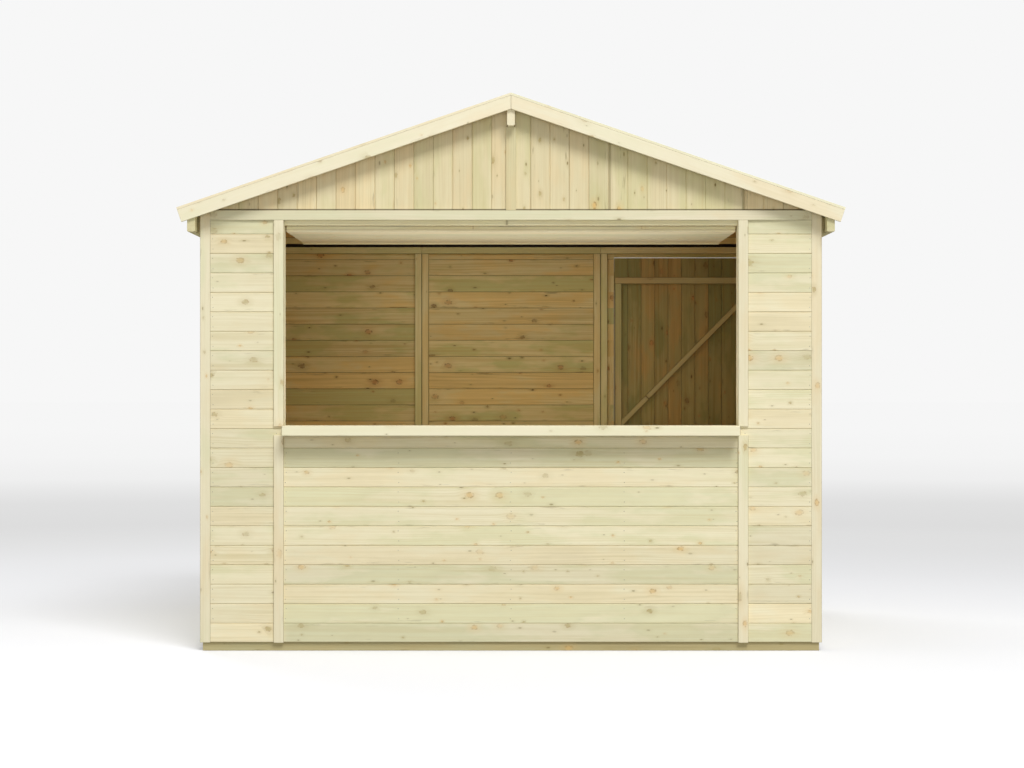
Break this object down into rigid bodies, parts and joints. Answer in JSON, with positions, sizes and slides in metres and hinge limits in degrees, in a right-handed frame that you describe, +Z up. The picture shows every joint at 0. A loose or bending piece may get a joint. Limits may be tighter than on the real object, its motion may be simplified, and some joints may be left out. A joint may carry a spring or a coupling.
{
  "type": "timber market stall",
  "caption": "Apex-roofed timber market stall of tongue and groove boards, with a counter under a wide serving opening, a lift-up hatch and a braced back door.",
  "frame": {"origin": "middle of the underside of the floor bearers, on the level ground the stall stands on", "axes": "+X to the right seen from the serving side, +Y to the back wall, +Z up"},
  "size_m": [3.21, 2.604, 2.6866],
  "materials": {
    "cladding": "planed pressure-treated softwood boards",
    "inside_boards": "planed softwood boards",
    "roof_boards": "planed pressure-treated softwood boards",
    "framing": "planed softwood framing",
    "trim": "planed softwood trim",
    "hinge_steel": "black powder coat"
  },
  "bodies": {
    "stall": {"floor_joists": "framing", "floor_boards": "inside_boards", "side_wall_rails": "framing", "side_wall_studs": "framing", "side_wall_boards": "cladding", "front_rails": "framing", "front_studs": "framing", "front_header": "framing", "front_side_boards": "cladding", "front_lower_boards": "cladding", "front_linings": "trim", "counter_bearers": "framing", "counter_boards": "trim", "counter_nosing": "trim", "back_rails": "framing", "back_studs": "framing", "back_boards": "cladding", "back_over_door_boards": "cladding", "gable_posts": "framing", "gable_boards": "cladding", "gable_rails": "framing", "gable_rafters": "framing", "roof_left": "roof_boards", "roof_right": "roof_boards", "ridge_beam": "framing", "purlins": "framing", "wall_plates": "framing", "eaves_battens": "framing", "eaves_beams": "framing", "barge_boards": "trim", "corner_strips": "trim", "jamb_trims": "trim", "top_trims": "trim", "joint_trims": "trim", "hinge_plates": "hinge_steel"},
    "hatch": {"hatch_boards": "cladding", "hatch_battens": "framing", "hatch_hinge_straps": "hinge_steel"},
    "door": {"door_boards": "cladding", "door_ledges": "framing", "door_stiles": "framing", "door_braces": "framing", "door_hinge_straps": "hinge_steel", "door_handle": "hinge_steel"}
  },
  "joints": [
    {"name": "hatch_swing", "type": "hinge", "parent": "stall", "child": "hatch", "pos_m": [0, -1.144, 2.062], "axis": [-1, 0, 0], "range_deg": [0, 90]},
    {"name": "door_swing", "type": "hinge", "parent": "stall", "child": "door", "pos_m": [0.6015, 1.207, 1], "axis": [0, 0, 1], "range_deg": [0, 165]}
  ]
}
